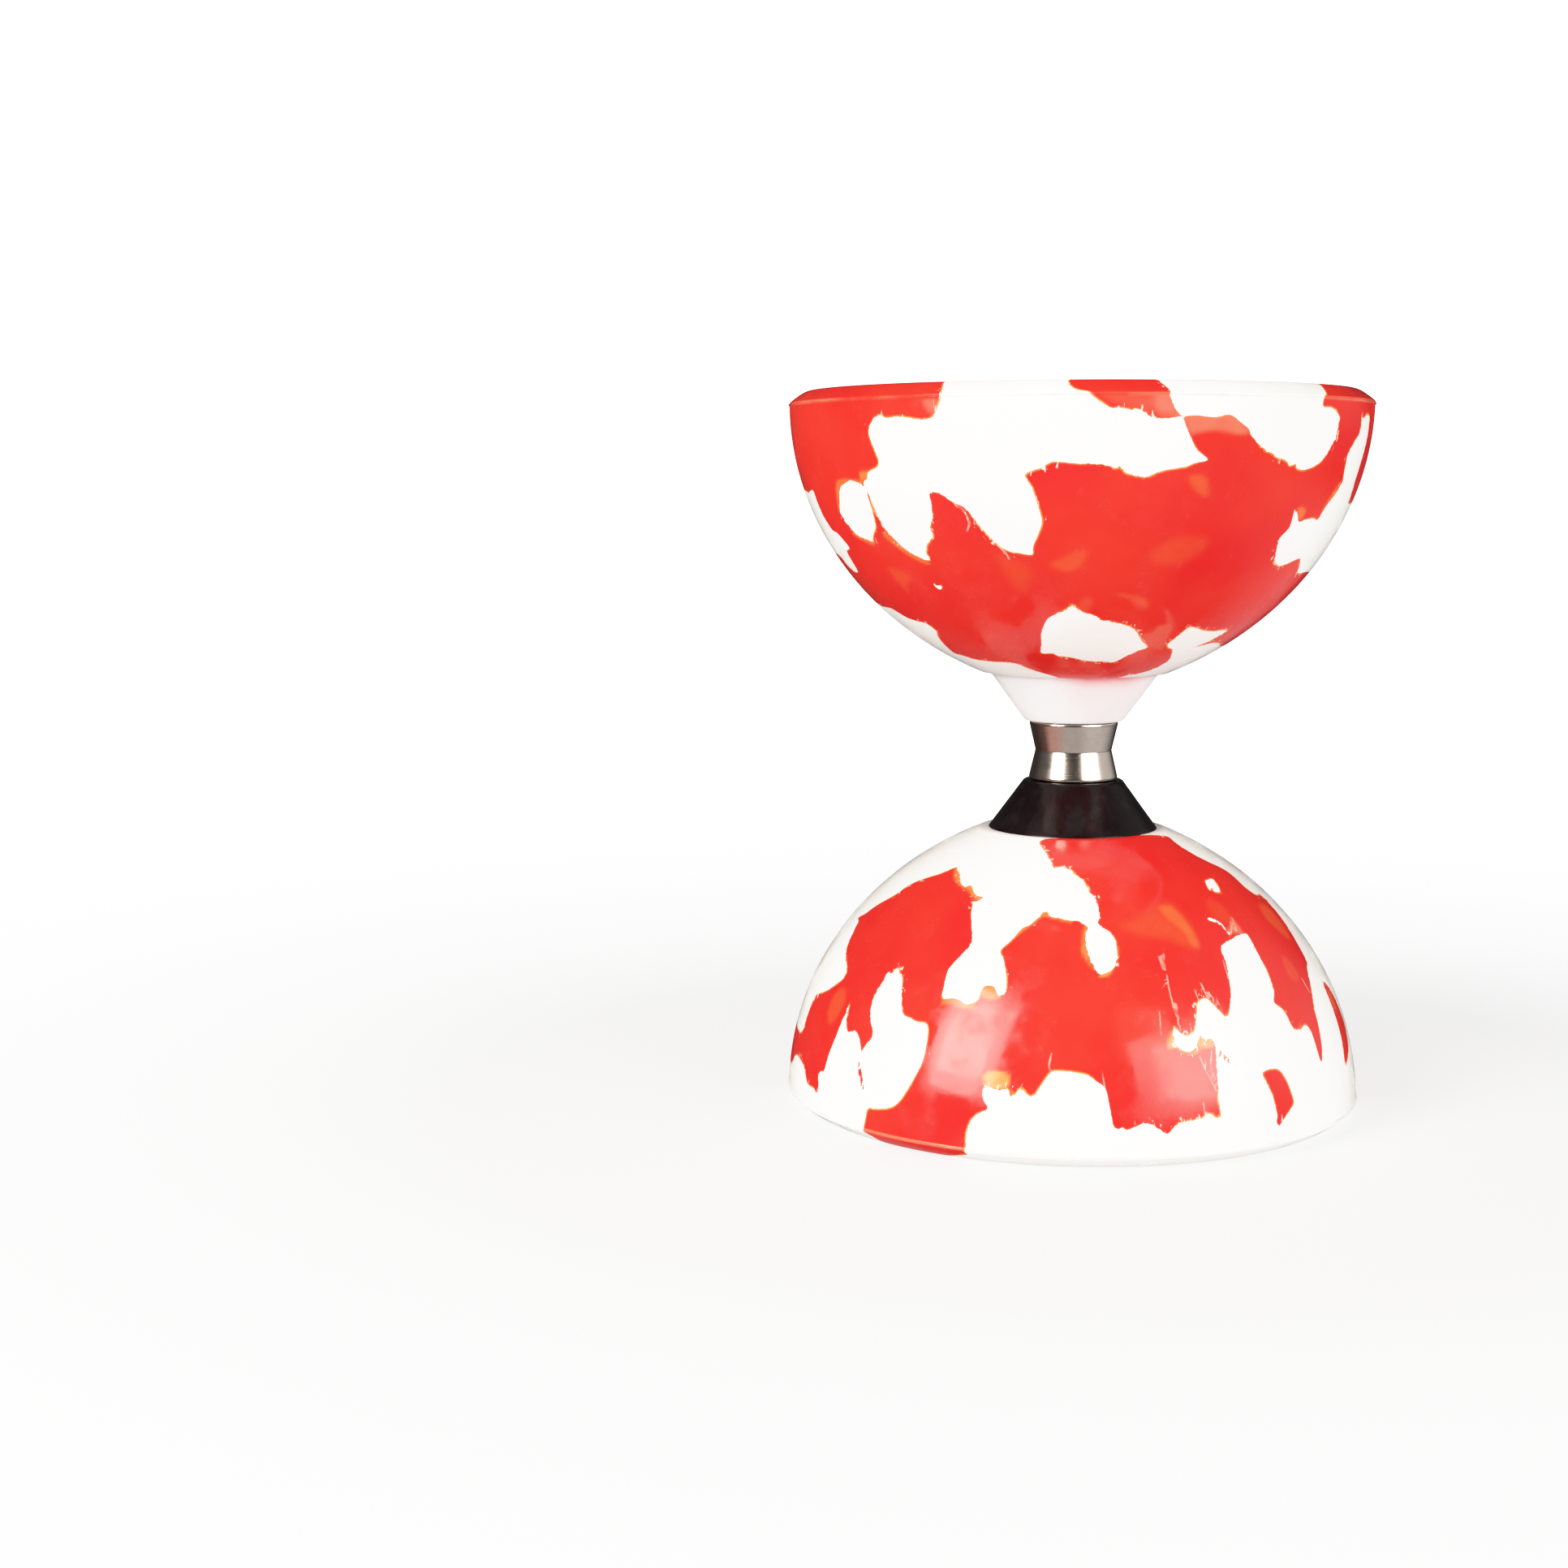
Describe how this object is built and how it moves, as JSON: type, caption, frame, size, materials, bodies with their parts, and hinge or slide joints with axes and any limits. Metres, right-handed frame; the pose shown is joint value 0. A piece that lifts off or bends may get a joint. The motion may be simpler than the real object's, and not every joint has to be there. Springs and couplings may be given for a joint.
{
  "type": "diabolo",
  "caption": "Marbled rubber diabolo: cups back to back on a V-grooved steel spool that spins freely on ball bearings between conical hubs.",
  "frame": {"origin": "centre of the string groove, on the spin axis, halfway between the two rims", "axes": "+Z along the spin axis, from the black hub towards the white hub; +X and +Y are any two directions across it, -Y being the side the front view shows"},
  "size_m": [0.11, 0.11, 0.136],
  "materials": {
    "marbled_rubber": "satin gloss, red marbled with white",
    "white_plastic": "milky, slightly translucent, satin gloss",
    "black_plastic": "satin",
    "clamp_plastic": "satin",
    "turned_steel": "turned and polished",
    "plated_steel": "zinc plated",
    "bearing_steel": "ground and polished",
    "nylon": "smooth"
  },
  "bodies": {
    "cup_assembly": {"axle_rod": "plated_steel", "bearing_spacer": "plated_steel", "cup_top": "marbled_rubber", "hub_top": "white_plastic", "shim_top": "plated_steel", "inner_ring_top": "bearing_steel", "clamp_disc_top": "clamp_plastic", "washer_top": "plated_steel", "lock_nut_top": "plated_steel", "nut_insert_top": "nylon", "cup_bottom": "marbled_rubber", "hub_bottom": "black_plastic", "shim_bottom": "plated_steel", "inner_ring_bottom": "bearing_steel", "clamp_disc_bottom": "clamp_plastic", "washer_bottom": "plated_steel", "lock_nut_bottom": "plated_steel", "nut_insert_bottom": "nylon"},
    "spool_assembly": {"axle_spool": "turned_steel", "outer_ring_top": "bearing_steel", "shield_top_outer": "bearing_steel", "shield_top_inner": "bearing_steel", "outer_ring_bottom": "bearing_steel", "shield_bottom_outer": "bearing_steel", "shield_bottom_inner": "bearing_steel"},
    "cage_assembly_top": {"cage_top": "bearing_steel", "ball_top_1": "bearing_steel", "ball_top_2": "bearing_steel", "ball_top_3": "bearing_steel", "ball_top_4": "bearing_steel", "ball_top_5": "bearing_steel", "ball_top_6": "bearing_steel", "ball_top_7": "bearing_steel"},
    "cage_assembly_bottom": {"cage_bottom": "bearing_steel", "ball_bottom_1": "bearing_steel", "ball_bottom_2": "bearing_steel", "ball_bottom_3": "bearing_steel", "ball_bottom_4": "bearing_steel", "ball_bottom_5": "bearing_steel", "ball_bottom_6": "bearing_steel", "ball_bottom_7": "bearing_steel"}
  },
  "joints": [
    {"name": "spool_spin", "type": "hinge", "parent": "cup_assembly", "child": "spool_assembly", "pos_m": [0, 0, 0], "axis": [0, 0, 1], "continuous": true},
    {"name": "cage_top_orbit", "type": "hinge", "parent": "cup_assembly", "child": "cage_assembly_top", "pos_m": [0, 0, 0.0029], "axis": [0, 0, 1], "continuous": true},
    {"name": "cage_bottom_orbit", "type": "hinge", "parent": "cup_assembly", "child": "cage_assembly_bottom", "pos_m": [0, 0, -0.0029], "axis": [0, 0, 1], "continuous": true}
  ],
  "couplings": [
    {"joint": "cage_top_orbit", "follows": "spool_spin", "ratio": 0.61053},
    {"joint": "cage_bottom_orbit", "follows": "spool_spin", "ratio": 0.61053}
  ]
}
